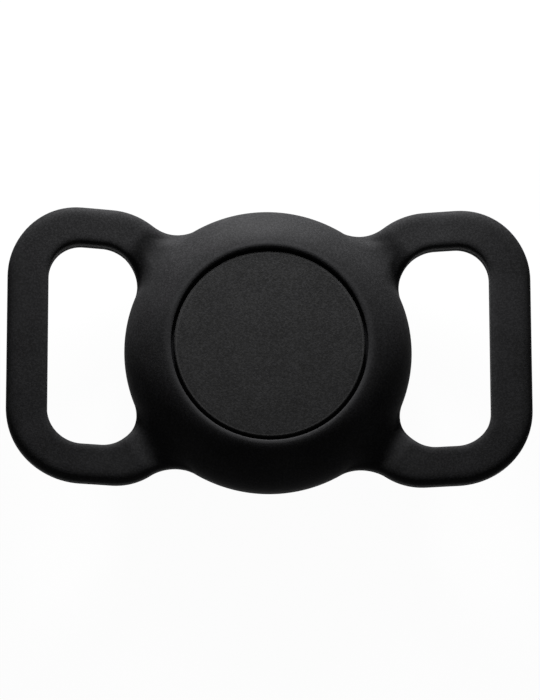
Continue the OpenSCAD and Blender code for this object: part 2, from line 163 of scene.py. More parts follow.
class HolderSizes(PropertyGroup):
    """Sizes of the moulded holder."""

    ring_diameter: length("Ring diameter", "Diameter of the ring at its rim", 38.9)
    rim_height: length("Rim height", "Height of the rim over the resting face", 4.9)
    lip_height: length("Lip height", "Height of the window lip over the resting face", 10.55)
    window_diameter: length("Window diameter", "Diameter of the round window", 26.5)
    lip_width: length("Lip width", "Width of the rounding from the window to the crest", 0.5)
    lip_depth: length("Lip depth", "Depth of the rounding at the window", 0.2)
    lip_underside: length("Lip underside", "Radius on the lower edge of the window", 0.12)
    dome_power: fullness("Dome power", "Roundness of the dome, 2 for an ellipse", 1.4)
    flat_diameter: length("Flat diameter", "Diameter of the flat resting face", 24.0)
    loop_width: length("Loop width", "Width of a loop across the strap", 37.8)
    slot_width: length("Slot width", "Width of the slot across the strap", 27.4)
    end_bar: length("End bar", "Width of the bar at the outer end of a loop", 5.5)
    loop_thickness: length("Loop thickness", "Thickness of a loop", 3.0)
    edge_radius: length("Edge radius", "Edge radius on the outside of a loop", 1.2)
    slot_edge_radius: length("Slot edge radius", "Edge radius round the strap slot", 0.8)
    edge_softness: FloatProperty(
        name="Edge softness",
        description="Width of the loops' edge rounding per radius",
        default=1.67,
        min=1.0,
    )
    edge_power: fullness("Edge power", "Fullness of that rounding, 2 for an ellipse", 3.0)
    loop_rise: length("Loop rise", "Rise of the loop ends over the rim", 4.9)
    rise_from: length("Rise start", "Distance from the middle at which the loops rise", 9.5)
    rise_to: length("Rise end", "Distance from the middle at which the rise ends", 33.0)
    rise_lead: length("Rise lead", "Distance from the ring over which the rise fades in", 4.0)
    corner_radius: length("Corner radius", "Radius of the outer corners", 9.9)
    slot_corner_radius: length("Slot corner radius", "Radius of the outer slot corners", 4.6)
    neck_radius: length("Neck radius", "Radius of the slot corners beside the ring", 4.8)
    hollow_radius: length("Hollow radius", "Radius of the hollow between ring and loop", 5.7)
    shoulder_radius: length("Shoulder radius", "Radius of the loop beside that hollow", 9.2)
    shoulder_place: length("Shoulder place", "Distance from the middle to its centre", 21.1)
    fillet_radius: length("Fillet radius", "Fillet between the ring's dome and the loop", 5.0)
    fillet_lead: length("Fillet lead", "Distance from the outline over which it grows", 2.4)
    parting_depth: length("Parting depth", "Depth of the mould's parting line", 0.03)
    parting_width: length("Parting width", "Half the width of the parting line", 0.06)


class TagSizes(PropertyGroup):
    """Sizes of the tag that the holder's pocket follows."""

    diameter: length("Diameter", "Diameter of the tag", 31.9)
    thickness: length("Thickness", "Thickness of the tag over its cover", 8.0)
    cover_drop: length("Cover drop", "How far the cover lies below the lip crest", 0.35)
    pocket_gap: length("Pocket gap", "Clearance round the tag", 0.15)
    split_height: length("Split height", "Height of the parting line over the domed face", 4.2)
    front_power: fullness("Front power", "Fullness of the domed face, 2 for an ellipse", 2.6)
    rear_power: fullness("Rear power", "Fullness of the rear edge, 2 for an ellipse", 3.2)
    rear_rise: length("Rear rise", "How far the rear curve would rise over the cover's seat", 0.6)
    cover_thickness: length("Cover thickness", "Thickness of the cover's disc", 0.8)
    cover_edge: length("Cover edge", "Edge radius of the cover", 0.2)
    cover_chamfer: length("Cover chamfer", "Chamfer on the cover's lower edge", 0.1)
    skirt_radius: length("Skirt radius", "Outside radius of the cover's skirt", 11.2)
    skirt_wall: length("Skirt wall", "Wall of the cover's skirt", 0.45)
    pad_recess_radius: length("Pad recess radius", "Radius of the recess for the pad", 7.9)
    pad_recess_depth: length("Pad recess depth", "Depth of the recess for the pad", 0.22)
    tab_lift: length("Tab lift", "Height of a tab over the end of the skirt", 0.05)
    tab_height: length("Tab height", "Height of a bayonet tab", 0.55)
    tab_reach: length("Tab reach", "How far a tab stands out of the skirt", 0.65)
    tab_count: IntProperty(
        name="Tabs", description="Number of bayonet tabs", default=3, min=1, max=6
    )
    tab_angle: angle("Tab angle", "Angle that a tab spans", 24.0)


class HolderFinish(PropertyGroup):
    """Colours, grain and roughness of the holder and the tag's cover."""

    silicone: tint("Silicone", "Colour of the holder", (0.0092, 0.0092, 0.0096))
    bloom: tint("Bloom", "Colour of the faint pale bloom", (0.021, 0.021, 0.022))
    grain_bloom: ratio("Grain bloom", "Bloom on the holder's grain", 0.62)
    cloud_bloom: ratio("Cloud bloom", "Bloom in soft clouds on the holder", 0.3)
    # Painted highlight: the pale bloom colour is laid on the lip round the window to stand in for
    # light catching it, over a band of this width.
    lip_highlight: ratio("Lip bloom", "Bloom on the handled lip of the window", 0.5)
    lip_highlight_band: length("Lip band", "Width of the handled band round the window", 0.7)
    silicone_roughness: ratio("Silicone roughness", "Roughness of the holder", 0.55)
    grain_roughness: ratio("Grain roughness", "Roughness that the holder's grain adds", 0.1)
    cloud_roughness: ratio("Cloud roughness", "Roughness that the clouds add", 0.04)
    silicone_gloss: ratio("Silicone gloss", "Specular level of the holder", 0.022)
    grain_size: length("Grain size", "Size of the holder's moulded grain", 0.26)
    speckle_size: length("Speckle size", "Size of the fine pits in that grain", 0.16)
    cloud_size: length("Cloud size", "Size of the clouds of bloom on the holder", 7.0)
    grain_depth: length("Grain depth", "Depth of the grain of holder and cover", 0.02)
    cover: tint("Cover", "Colour of the tag's cover", (0.0018, 0.0018, 0.002))
    cover_grain_bloom: ratio("Cover grain bloom", "Bloom on the cover's grain", 0.5)
    cover_cloud_bloom: ratio("Cover cloud bloom", "Bloom in soft clouds on the cover", 0.15)
    cover_roughness: ratio("Cover roughness", "Roughness of the cover", 0.37)
    cover_grain_roughness: ratio("Cover grain roughness", "Roughness that its grain adds", 0.12)
    cover_gloss: ratio("Cover gloss", "Specular level of the cover", 0.34)
    edge_dullness: ratio("Edge dullness", "Roughness that the cover's edge adds", 0.5)
    cover_grain_size: length("Cover grain size", "Size of the cover's spark-eroded grain", 0.24)
    cover_pit_size: length("Cover pit size", "Size of the pits in that grain", 0.2)
    cover_cloud_size: length("Cover cloud size", "Size of the clouds on the cover", 5.0)


class InnerFinish(PropertyGroup):
    """Colours and roughness of the pieces under the cover."""

    shell: tint("Shell", "Colour of the tag's shell and housing", (0.012, 0.012, 0.013))
    shell_roughness: ratio("Shell roughness", "Roughness of the domed shell", 0.22)
    housing_roughness: ratio("Housing roughness", "Roughness of the rear housing", 0.42)
    housing_gloss: ratio("Housing gloss", "Specular level of the rear housing", 0.05)
    seal: tint("Seal", "Colour of the sealing ring", (0.03, 0.03, 0.03))
    pad: tint("Pad", "Colour of the insulating pad", (0.09, 0.09, 0.1))
    rubber_roughness: ratio("Rubber roughness", "Roughness of ring and pad", 0.75)
    cell: tint("Cell", "Colour of the coin cell's steel", (0.62, 0.62, 0.61))
    cell_roughness: ratio("Cell roughness", "Roughness of that steel", 0.24)
    gasket: tint("Gasket", "Colour of the ring between can and cap", (0.2, 0.2, 0.2))
    gasket_roughness: ratio("Gasket roughness", "Roughness of that ring", 0.4)
    contact: tint("Contact", "Colour of the plated contacts", (0.78, 0.55, 0.22))
    contact_roughness: ratio("Contact roughness", "Roughness of the contacts", 0.2)
    board: tint("Board", "Colour of the board's lacquer", (0.02, 0.11, 0.05))
    board_roughness: ratio("Board roughness", "Roughness of the lacquer", 0.3)
    chip: tint("Chip", "Colour of the moulded chips", (0.02, 0.02, 0.022))
    chip_roughness: ratio("Chip roughness", "Roughness of the chips", 0.5)
    tin: tint("Tin", "Colour of the tinned cans", (0.7, 0.7, 0.71))
    tin_roughness: ratio("Tin roughness", "Roughness of the tinned cans", 0.26)
    ceramic: tint("Ceramic", "Colour of the chip capacitors", (0.32, 0.2, 0.12))
    ceramic_roughness: ratio("Ceramic roughness", "Roughness of the capacitors", 0.45)
    yoke: tint("Yoke", "Colour of the speaker's plated steel", (0.5, 0.5, 0.52))
    yoke_roughness: ratio("Yoke roughness", "Roughness of that steel", 0.28)
    copper: tint("Copper", "Colour of the coil and the antennas", (0.75, 0.33, 0.14))
    copper_roughness: ratio("Copper roughness", "Roughness of the copper", 0.28)


class StageSettings(PropertyGroup):
    """Camera, lamp, floor and surround."""

    azimuth: angle("Azimuth", "Turn of the camera from -Y to -X", 10.4)
    elevation: angle("Elevation", "Height of the camera as an angle", 76.5)
    roll: angle("Roll", "Turn of the picture", 10.56)
    distance: length("Distance", "Camera distance from the object", 540.0, 0.0, 2000.0)
    focal: FloatProperty(
        name="Focal length", description="Focal length in millimetres", default=205.8, min=1.0
    )
    aim_side: length("Aim side", "Sideways place of the aim", 0.2, -20.0, 20.0)
    aim_height: length("Aim height", "Height of the aim", 6.3)
    key_power: FloatProperty(
        name="Key power", description="Power of the key lamp", default=0.55, unit="POWER"
    )
    key_azimuth: angle("Key azimuth", "Turn of the key lamp from +Y to -X", 3.0)
    key_elevation: angle("Key elevation", "Height of the key lamp as an angle", 17.0)
    key_distance: length("Key distance", "Distance of the key lamp", 120.0, 0.0, 2000.0)
    key_size: length("Key size", "Size of the key lamp", 34.0, 0.0, 2000.0)
    surround: ratio("Surround", "Strength of the light from all round", 0.12)
    horizon: ratio("Horizon", "Sine of the angle at which the white backdrop fades", 0.2)
    floor: tint("Floor", "Colour of the floor in the light", (0.8, 0.8, 0.8))
    floor_speck: tint("Floor speck", "Colour of its faint specks", (0.82, 0.82, 0.82))
    speck_size: length("Speck size", "Size of the floor's specks", 4.0)
    white_share: ratio("White share", "Share of the floor that is plain white", 0.97)


class Wire:
    """One value or vector in a material, whose operators add Math, Mix and Vector Math nodes."""

    def __init__(self, maker, socket):
        self.maker = maker
        self.socket = socket

    def calc(self, operation, a, b):
        """One operation on two values, or on vectors where either of them is one."""
        vectors = any(
            isinstance(value, tuple) or isinstance(value, Wire) and value.socket.type == "VECTOR"
            for value in (a, b)
        )
        kind = "ShaderNodeVectorMath" if vectors else "ShaderNodeMath"
        return self.maker.add(kind, {"operation": operation}, {0: a, 1: b})

    def __add__(self, other):
        return self.calc("ADD", self, other)

    __radd__ = __add__

    def __sub__(self, other):
        return self.calc("SUBTRACT", self, other)

    def __rsub__(self, other):
        return self.calc("SUBTRACT", other, self)

    def __mul__(self, other):
        return self.calc("MULTIPLY", self, other)

    __rmul__ = __mul__

    def __or__(self, other):
        return self.calc("MAXIMUM", self, other)

    __ror__ = __or__

    def over(self, low, high):
        """0 up to low, 1 from high, smooth between."""
        return self.maker.add(
            "ShaderNodeMapRange",
            {"interpolation_type": "SMOOTHSTEP"},
            {"Value": self, "From Min": low, "From Max": high},
        )

    def blend(self, low_colour, high_colour):
        """A colour that runs from one to the other as this value goes from 0 to 1."""
        return self.maker.add(
            "ShaderNodeMix",
            {"data_type": "RGBA"},
            {0: self, 6: opaque(low_colour), 7: opaque(high_colour)},
            output=2,
        )


def opaque(colour):
    """A colour with its alpha."""
    return (*colour[:3], 1.0)


def shade(colour, factor, lift=0.0):
    """A colour made darker or paler."""
    return tuple(min(1.0, level * factor + lift) for level in colour)


class MaterialMaker:
    """A node material, or the world, that is written as Python expressions."""

    def __init__(self, owner):
        self.owner = owner
        owner.use_nodes = True
        self.tree = owner.node_tree
        self.tree.nodes.clear()

    @classmethod
    def material(cls, name):
        """A new material, whose patterns follow the place on the object."""
        maker = cls(bpy.data.materials.new(name))
        maker.place = maker.add("ShaderNodeTexCoord", output="Object")
        return maker

    def add(self, kind, settings=None, sockets=None, output=0):
        """Adds any node: its settings first, then the values or links of its sockets."""
        made = self.tree.nodes.new(kind)
        for key, value in (settings or {}).items():
            setattr(made, key, value)
        for key, value in (sockets or {}).items():
            if isinstance(value, Wire):
                self.tree.links.new(value.socket, made.inputs[key])
            else:
                made.inputs[key].default_value = value
        return Wire(self, made.outputs[output]) if made.outputs else None

    def noise(self, size, detail=2.0, roughness=0.5):
        """Noise whose features are about size metres across."""
        return self.add(
            "ShaderNodeTexNoise",
            sockets={
                "Vector": self.place,
                "Scale": 1 / size,
                "Detail": detail,
                "Roughness": roughness,
            },
        )

    def cells(self, size):
        """Distance pattern of cells about size metres across."""
        return self.add("ShaderNodeTexVoronoi", sockets={"Vector": self.place, "Scale": 1 / size})

    def waves(self, kind, per_metre, distortion):
        """Rings round the Z axis, for RINGS, or bands along it, for BANDS."""
        return self.add(
            "ShaderNodeTexWave",
            {"wave_type": kind, kind.lower() + "_direction": "Z"},
            {"Vector": self.place, "Scale": per_metre, "Distortion": distortion},
            output="Fac",
        )

    def from_axis(self):
        """Distance from the axis through window and tag."""
        across = self.place * (1, 1, 0)
        return self.add(
            "ShaderNodeVectorMath", {"operation": "LENGTH"}, {0: across}, output="Value"
        )

    def level(self, vector):
        """The Z of a vector."""
        return self.add("ShaderNodeSeparateXYZ", sockets={0: vector}, output="Z")

    def bump(self, height, depth, strength):
        """Relief of a height from 0 to 1, whose full depth is in metres."""
        return self.add(
            "ShaderNodeBump",
            sockets={"Height": height, "Distance": depth, "Strength": strength},
        )

    def background_rays(self):
        """1 for rays from the camera, off metal or through glass, 0 for the light on the object."""
        rays = self.add("ShaderNodeLightPath").socket.node.outputs
        camera, glossy, through = (
            Wire(self, rays[name])
            for name in ("Is Camera Ray", "Is Glossy Ray", "Is Transmission Ray")
        )
        return camera | glossy | through

    def finish(self, **inputs):
        """Ends the material with one surface shader, whose inputs are named with underscores."""
        sockets = {key.replace("_", " "): value for key, value in inputs.items()}
        shader = self.add("ShaderNodeBsdfPrincipled", sockets=sockets)
        self.add("ShaderNodeOutputMaterial", sockets={"Surface": shader})
        return self.owner


def silicone(finish, sizes):
    """Matte black silicone: a fine moulded grain, a faint bloom, and a painted highlight that makes
    the lip round the window paler.
    """
    m = MaterialMaker.material("silicone")
    crest = sizes.window_diameter / 2 + sizes.lip_width
    lip_start = sizes.lip_height - sizes.lip_depth
    # Painted highlight: the lip's crest round the window turns towards the bloom colour, fading
    # outwards over the band and down the rounding.
    near_window = 1 - m.from_axis().over(crest, crest + finish.lip_highlight_band)
    highlit = near_window * m.level(m.place).over(lip_start, lip_start + sizes.lip_depth / 2)
    grain = m.noise(finish.grain_size, detail=3.0, roughness=0.65)
    speckle = m.cells(finish.speckle_size)
    cloud = m.noise(finish.cloud_size, detail=3.0)
    bloom = (
        cloud.over(*SILICONE_CLOUD_LEVELS) * finish.cloud_bloom
        + grain.over(*GRAIN_LEVELS) * finish.grain_bloom
        + highlit * finish.lip_highlight
    )
    added = grain * finish.grain_roughness + cloud * finish.cloud_roughness
    return m.finish(
        Base_Color=bloom.blend(finish.silicone, finish.bloom),
        Roughness=finish.silicone_roughness + added,
        Specular_IOR_Level=finish.silicone_gloss,
        Normal=m.bump(grain - speckle * SILICONE_PITS, finish.grain_depth, strength=0.9),
    )


def cover_black(finish, tag):
    """The tag's cover: a flat black face with a fine spark-eroded grain, and a duller edge."""
    m = MaterialMaker.material("cover_black")
    face_end = COVER_HIGH.x - tag.cover_edge
    edge = m.from_axis().over(face_end - tag.cover_edge, face_end)
    grain = m.noise(finish.cover_grain_size, detail=4.0, roughness=0.65)
    cloud = m.noise(finish.cover_cloud_size, detail=3.0)
    pits = m.cells(finish.cover_pit_size)
    bloom = (
        grain.over(*GRAIN_LEVELS) * finish.cover_grain_bloom
        + cloud.over(*COVER_CLOUD_LEVELS) * finish.cover_cloud_bloom
    )
    added = grain * finish.cover_grain_roughness + edge * finish.edge_dullness
    return m.finish(
        Base_Color=bloom.blend(finish.cover, finish.bloom),
        Roughness=finish.cover_roughness + added,
        Specular_IOR_Level=finish.cover_gloss,
        Normal=m.bump(grain - pits * COVER_PITS, finish.grain_depth, strength=0.9),
    )


def smooth_plastic(name, colour, roughness, grain_depth=SHELL_GRAIN_DEPTH, gloss=0.5):
    """Moulded plastic with a trace of flow and a fine grain."""
    m = MaterialMaker.material(name)
    flow = m.noise(FLOW_SIZE)
    grain = m.noise(PLASTIC_GRAIN_SIZE)
    return m.finish(
        Base_Color=flow.blend(colour, shade(colour, factor=1.25, lift=0.002)),
        Roughness=roughness + grain * PLASTIC_GRAIN_ROUGHNESS,
        Specular_IOR_Level=gloss,
        Normal=m.bump(grain, grain_depth, strength=0.5),
    )


def rubber(name, colour, roughness):
    """Soft rubber or foam with open pores."""
    m = MaterialMaker.material(name)
    pores = m.cells(PORE_SIZE)
    return m.finish(
        Base_Color=pores.over(low=0.1, high=0.6).blend(shade(colour, factor=0.6), colour),
        Roughness=roughness,
        Normal=m.bump(pores, PORE_DEPTH, strength=0.7),
    )


def turned_metal(name, colour, roughness):
    """Sheet or turned metal, with fine rings round the tag's axis and a cloudy plating."""
    m = MaterialMaker.material(name)
    rings = m.waves("RINGS", TURNED_RINGS, distortion=0.6)
    cloud = m.noise(PLATING_CLOUD_SIZE, detail=3.0)
    added = rings * TURNED_RING_ROUGHNESS + cloud * PLATING_CLOUD_ROUGHNESS
    return m.finish(
        Base_Color=cloud.blend(shade(colour, factor=0.86), colour),
        Metallic=1.0,
        Roughness=roughness + added,
        Normal=m.bump(rings, TURNED_RING_DEPTH, strength=0.4),
    )


def solder_mask(name, colour, roughness):
    """Board: lacquer over copper tracks that show as faint relief."""
    m = MaterialMaker.material(name)
    tracks = m.add(
        "ShaderNodeTexBrick",
        {"offset": 0.37},
        {
            "Vector": m.place,
            "Scale": BOARD_TRACKS,
            "Mortar Size": 0.06,
            "Brick Width": 1.3,
            "Row Height": 0.4,
        },
        output="Fac",
    )
    return m.finish(
        Base_Color=tracks.blend(colour, shade(colour, factor=1.7, lift=0.01)),
        Roughness=roughness + m.noise(BOARD_MOTTLE_SIZE) * MOTTLE_ROUGHNESS,
        Normal=m.bump(tracks, BOARD_TRACK_DEPTH, strength=0.6),
    )


def wound_copper(name, colour, roughness):
    """Enamelled wire, wound in layers."""
    m = MaterialMaker.material(name)
    turns = m.waves("BANDS", WIRE_TURNS, distortion=0.2)
    return m.finish(
        Base_Color=turns.blend(shade(colour, factor=0.45), colour),
        Metallic=0.9,
        Roughness=roughness + m.noise(WIRE_MOTTLE_SIZE) * MOTTLE_ROUGHNESS,
        Normal=m.bump(turns, WIRE_DEPTH, strength=0.8),
    )


def arc(centre, radius, start, end, steps):
    """Points on an arc, from one angle in degrees to another."""
    turn = np.radians(np.linspace(start, end, steps + 1))
    return np.stack([centre[0] + radius * np.cos(turn), centre[1] + radius * np.sin(turn)], 1)


def straight(a, b, steps):
    """Points on a straight line."""
    return np.linspace(np.array(a, float), np.array(b, float), steps + 1)


def chain(*paths):
    """Paths joined end to end, without their shared points."""
    return np.concatenate([paths[0]] + [path[1:] for path in paths[1:]])


def crowded(steps):
    """Shares from 0 to 1 that stand closer together towards both ends."""
    return (1 - np.cos(np.linspace(0, math.pi, steps + 1))) / 2


def ease(value):
    """Smooth step from 0 to 1."""
    share = np.clip(value, 0, 1)
    return share * share * (3 - 2 * share)


def distance_to(points, path):
    """Distance of each point from a path of straight pieces."""
    a, b = path[:-1], path[1:]
    way = b - a
    off = points[:, None, :] - a[None]
    share = np.clip((off * way[None]).sum(2) / (way * way).sum(1)[None], 0, 1)
    return np.sqrt(((off - way[None] * share[..., None]) ** 2).sum(2).min(1))


def angle_of(point):
    """Direction of a point from the middle, in degrees."""
    return math.degrees(math.atan2(point[1], point[0]))


class HolderPlan:
    """Outlines of one quarter of the holder, and the heights of its two faces over them."""

    RING_STEPS = 16
    NECK_STEPS = 10
    ACROSS_STEPS = 30
    HOLLOW_STEPS = 12
    CROWN_STEPS = 20
    SHOULDER_STEPS = 16
    BAR_STEPS = 6
    CORNER_STEPS = 24
    END_STEPS = 8
    # Degrees at which the seam between ring and loop leaves the neck's arc and the hollow's.
    NECK_SEAM = 165.0
    HOLLOW_SEAM = -92.0

    def __init__(self, sizes):
        self.sizes = sizes
        self.ring = sizes.ring_diameter / 2
        self.window = sizes.window_diameter / 2
        self.crest = self.window + sizes.lip_width
        self.flat = sizes.flat_diameter / 2
        self.land = sizes.loop_thickness / 2 - sizes.edge_radius
        loop_half = sizes.loop_width / 2
        slot_half = sizes.slot_width / 2
        slot_end = LOOP_END - sizes.end_bar
        neck_y = slot_half - sizes.neck_radius
        neck = (math.sqrt((self.ring + sizes.neck_radius) ** 2 - neck_y**2), neck_y)
        shoulder = (sizes.shoulder_place, loop_half - sizes.shoulder_radius)
        corner = (LOOP_END - sizes.corner_radius, loop_half - sizes.corner_radius)
        slot_corner = (slot_end - sizes.slot_corner_radius, slot_half - sizes.slot_corner_radius)
        hollow = self.meet(
            shoulder, self.ring + sizes.hollow_radius, sizes.hollow_radius + sizes.shoulder_radius
        )
        neck_turn = angle_of(neck)
        hollow_turn = angle_of(hollow)
        shoulder_turn = angle_of((shoulder[0] - hollow[0], shoulder[1] - hollow[1]))

        ring_side = arc((0, 0), self.ring, 0, neck_turn, self.RING_STEPS)
        neck_side = arc(neck, sizes.neck_radius, 180 + neck_turn, self.NECK_SEAM, self.NECK_STEPS)
        hollow_side = arc(
            hollow, sizes.hollow_radius, self.HOLLOW_SEAM, hollow_turn - 180, self.HOLLOW_STEPS
        )
        crown = arc((0, 0), self.ring, hollow_turn, 90, self.CROWN_STEPS)
        self.shares = crowded(self.ACROSS_STEPS)
        seam = neck_side[-1] + (hollow_side[0] - neck_side[-1]) * self.shares[:, None]

        slot_steps = self.HOLLOW_STEPS + self.SHOULDER_STEPS
        slot_top = arc(neck, sizes.neck_radius, self.NECK_SEAM, 90, slot_steps)
        slot_bend = arc(slot_corner, sizes.slot_corner_radius, 90, 0, self.CORNER_STEPS)
        self.slot_path = self.round_end(slot_top, slot_bend, slot_end)
        outer_top = chain(
            arc(hollow, sizes.hollow_radius, self.HOLLOW_SEAM, shoulder_turn, self.HOLLOW_STEPS),
            arc(shoulder, sizes.shoulder_radius, shoulder_turn + 180, 90, self.SHOULDER_STEPS),
        )
        outer_bend = arc(corner, sizes.corner_radius, 90, 0, self.CORNER_STEPS)
        self.outer_path = self.round_end(outer_top, outer_bend, LOOP_END)

        self.ray_ends = chain(ring_side, neck_side, seam, hollow_side, crown)
        self.slot_edge = chain(ring_side, neck_side, self.slot_path)
        self.outer_edge = chain(crown[::-1], hollow_side[::-1], self.outer_path)

    @classmethod
    def round_end(cls, top, bend, end):
        """A loop's outline from its top round the bend to the middle of its end."""
        return chain(
            top,
            straight(top[-1], bend[0], cls.BAR_STEPS),
            bend,
            straight(bend[-1], (end, 0), cls.END_STEPS),
        )

    @staticmethod
    def meet(point, from_middle, from_point):
        """The place at these distances from the middle and from the point, on its far side."""
        reach = math.hypot(*point)
        along = (from_middle**2 - from_point**2 + reach**2) / (2 * reach)
        side = math.sqrt(from_middle**2 - along**2)
        ux, uy = point[0] / reach, point[1] / reach
        return (ux * along - uy * side, uy * along + ux * side)

    def lead(self, points):
        """0 on the ring, 1 where the loop has left it."""
        return ease((np.hypot(points[:, 0], points[:, 1]) - self.ring) / self.sizes.rise_lead)

    def fillet(self, points):
        """Radius of the fillet between ring and loop, none at the outline."""
        s = self.sizes
        inside = np.minimum(
            distance_to(points, self.outer_edge), distance_to(points, self.slot_edge)
        )
        return s.fillet_radius * ease(inside / s.fillet_lead)

    def rise(self, points):
        """How far the loop has risen over the rim."""
        s = self.sizes
        way_out = ease((points[:, 0] - s.rise_from) / (s.rise_to - s.rise_from))
        return s.loop_rise * way_out * self.lead(points)

    def half_thickness(self, points):
        """Half the loop's thickness, which its rounded edges reduce."""
        s = self.sizes
        lead = self.lead(points)
        softness = 1 + (s.edge_softness - 1) * lead
        power = 2 + (s.edge_power - 2) * lead
        slot_radius = s.edge_radius + (s.slot_edge_radius - s.edge_radius) * lead

        def rounded(edge, radius):
            left = 1 - np.minimum(1, distance_to(points, edge) / (radius * softness))
            return s.loop_thickness / 2 - radius + radius * (1 - left**power) ** (1 / power)

        return np.minimum(
            rounded(self.outer_edge, s.edge_radius), rounded(self.slot_edge, slot_radius)
        )

    @staticmethod
    def blended(radius, loop, start, wide, high, fillet):
        """The higher of the ring's round section and the loop, with a fillet where they meet."""
        loop_round = loop * wide / high
        reach = np.sqrt(np.maximum(0, (wide + fillet) ** 2 - (loop_round + fillet) ** 2))
        fillet_end = start + reach
        fillet_start = start + reach * wide / (wide + fillet)
        section = high * np.sqrt(np.maximum(0, 1 - ((radius - start) / wide) ** 2))
        drop = np.sqrt(np.maximum(0, fillet**2 - (radius - fillet_end) ** 2))
        hollow = (loop_round + fillet - drop) * high / wide
        inner = np.where(radius <= fillet_start, section, hollow)
        return np.where(radius >= fillet_end, loop, inner)

    def face_height(self, points, upper):
        """Height of the upper or the lower face over points in the plan."""
        s = self.sizes
        radius = np.hypot(points[:, 0], points[:, 1])
        sign = 1 if upper else -1
        loop = self.half_thickness(points) + sign * self.rise(points) - self.land
        start = self.crest if upper else self.flat
        wide = self.ring - start
        if upper:
            out = np.maximum(0, radius - start) / wide
            radius = start + wide * out ** (s.dome_power / 2)
        high = (s.lip_height - s.rim_height if upper else s.rim_height) - self.land
        lift = self.land + self.blended(radius, loop, start, wide, high, self.fillet(points))
        return s.rim_height + sign * lift


def closed_mesh(name, points, faces, merge=0.0):
    """A mesh with its normals outwards, and with points nearer than merge joined."""
    mesh = bpy.data.meshes.new(name)
    mesh.from_pydata(points, [], faces)
    work = bmesh.new()
    work.from_mesh(mesh)
    if merge:
        bmesh.ops.remove_doubles(work, verts=work.verts, dist=merge)
    bmesh.ops.recalc_face_normals(work, faces=work.faces)
    work.to_mesh(mesh)
    work.free()
    return mesh


class SkinBuilder:
    """Gathers grids of points, each in four mirrored quarters."""

    def __init__(self):
        self.points = []
        self.faces = []

    def grid(self, rows):
        """Adds a grid, given as an array of rows of points, once in each quarter."""
        rows = np.asarray(rows, float)
        count, width = rows.shape[:2]
        for sx, sy in QUARTERS:
            base = len(self.points)
            self.points.extend(map(tuple, (rows * (sx, sy, 1)).reshape(-1, 3)))
            for i in range(count - 1):
                for j in range(width - 1):
                    a = base + i * width + j
                    self.faces.append((a, a + 1, a + width + 1, a + width))


def pocket_front(tag):
    """Outline of the pocket round the tag's domed face, as radius and height."""
    turn = np.linspace(0, math.pi / 2, POCKET_STEPS + 1)
    power = 2 / tag.front_power
    radius = (tag.diameter / 2 + tag.pocket_gap) * np.sin(turn) ** power
    height = tag.split_height - (tag.split_height + tag.pocket_gap) * np.cos(turn) ** power
    return np.stack([radius, height], 1)


def pocket_rear(tag, inner):
    """Outline of the pocket round the tag's rear edge, in to a radius."""
    widest = tag.diameter / 2 + tag.pocket_gap
    power = 2 / tag.rear_power
    rise = tag.thickness - tag.cover_thickness + tag.rear_rise - tag.split_height
    turn = np.linspace(math.pi / 2, math.asin((inner / widest) ** (1 / power)), REAR_STEPS + 1)
    radius = widest * np.sin(turn) ** power
    height = tag.split_height + (rise + tag.pocket_gap) * np.cos(turn) ** power
    return np.stack([radius, height], 1)


def lip_arc(window, sizes):
    """Rounding of the window lip, as radius and height, from the window to the crest."""
    turn = np.linspace(0, math.pi / 2, LIP_STEPS + 1)
    radius = window + sizes.lip_width * (1 - np.cos(turn))
    height = sizes.lip_height - sizes.lip_depth * (1 - np.sin(turn))
    return np.stack([radius, height], 1)


def holder_mesh(sizes, tag):
    """The whole moulding: pocket, lip, dome, rim, base, loops and the parting line."""
    plan = HolderPlan(sizes)
    skin = SkinBuilder()
    ends = plan.ray_ends
    reach = np.hypot(ends[:, 0], ends[:, 1])
    ways = ends / reach[:, None]

    def ring_rows(profile):
        """The same radius and height on every ray."""
        return [np.column_stack([ways * r, np.full(len(ways), z)]) for r, z in profile]

    def face_rows(start, steps, upper):
        """Rows of one face, from a radius out to the ends of the rays."""
        rows = []
        for share in crowded(steps):
            points = ways * (start + (reach - start) * share)[:, None]
            rows.append(np.column_stack([points, plan.face_height(points, upper)]))
        return rows

    lift = sizes.lip_height - tag.cover_drop - tag.thickness
    under = sizes.lip_underside
    pocket = pocket_front(tag)
    shoulder = pocket_rear(tag, plan.window + under)
    pocket[:, 1] += lift
    shoulder[:, 1] += lift
    edge_centre = (plan.window + under, shoulder[-1, 1] + under)
    lower_edge = arc(edge_centre, under, -90, -180, UNDERSIDE_STEPS)
    lip = lip_arc(plan.window, sizes)
    wall = straight(lower_edge[-1], lip[0], WALL_STEPS)
    skin.grid(ring_rows(chain(pocket, shoulder, lower_edge, wall, lip)))
    skin.grid(face_rows(plan.crest, DOME_STEPS, True))
    skin.grid(face_rows(plan.flat, BASE_STEPS, False))
    skin.grid(ring_rows([(0, 0), (plan.flat / 2, 0), (plan.flat, 0)]))
    for upper in (True, False):
        rows = []
        for inner, outer in zip(plan.slot_path, plan.outer_path):
            points = inner + (outer - inner) * plan.shares[:, None]
            rows.append(np.column_stack([points, plan.face_height(points, upper)]))
        skin.grid(rows)
    skin.grid(parting_rows(plan, plan.outer_edge, 1))
    skin.grid(parting_rows(plan, plan.slot_edge, -1))
    return closed_mesh("holder_skin", skin.points, skin.faces, MERGE_DISTANCE)


def parting_rows(plan, edge, side):
    """The narrow wall along an outline, with the parting line as a fine groove in it."""
    sizes = plan.sizes
    step = np.gradient(edge, axis=0)
    normal = np.stack([-step[:, 1], step[:, 0]], 1)
    normal *= side / np.hypot(step[:, 0], step[:, 1])[:, None]
    # The groove's ends stay in the quarter's planes of symmetry.
    normal[0, 1 if side < 0 else 0] = 0
    normal[-1, 1] = 0
    high = plan.face_height(edge, True)
    low = plan.face_height(edge, False)
    middle = (high + low) / 2
    levels = (
        (high, 0),
        (middle + sizes.parting_width, 0),
        (middle, sizes.parting_depth),
        (middle - sizes.parting_width, 0),
        (low, 0),
    )
    return [np.column_stack([edge - normal * inset, height]) for height, inset in levels]


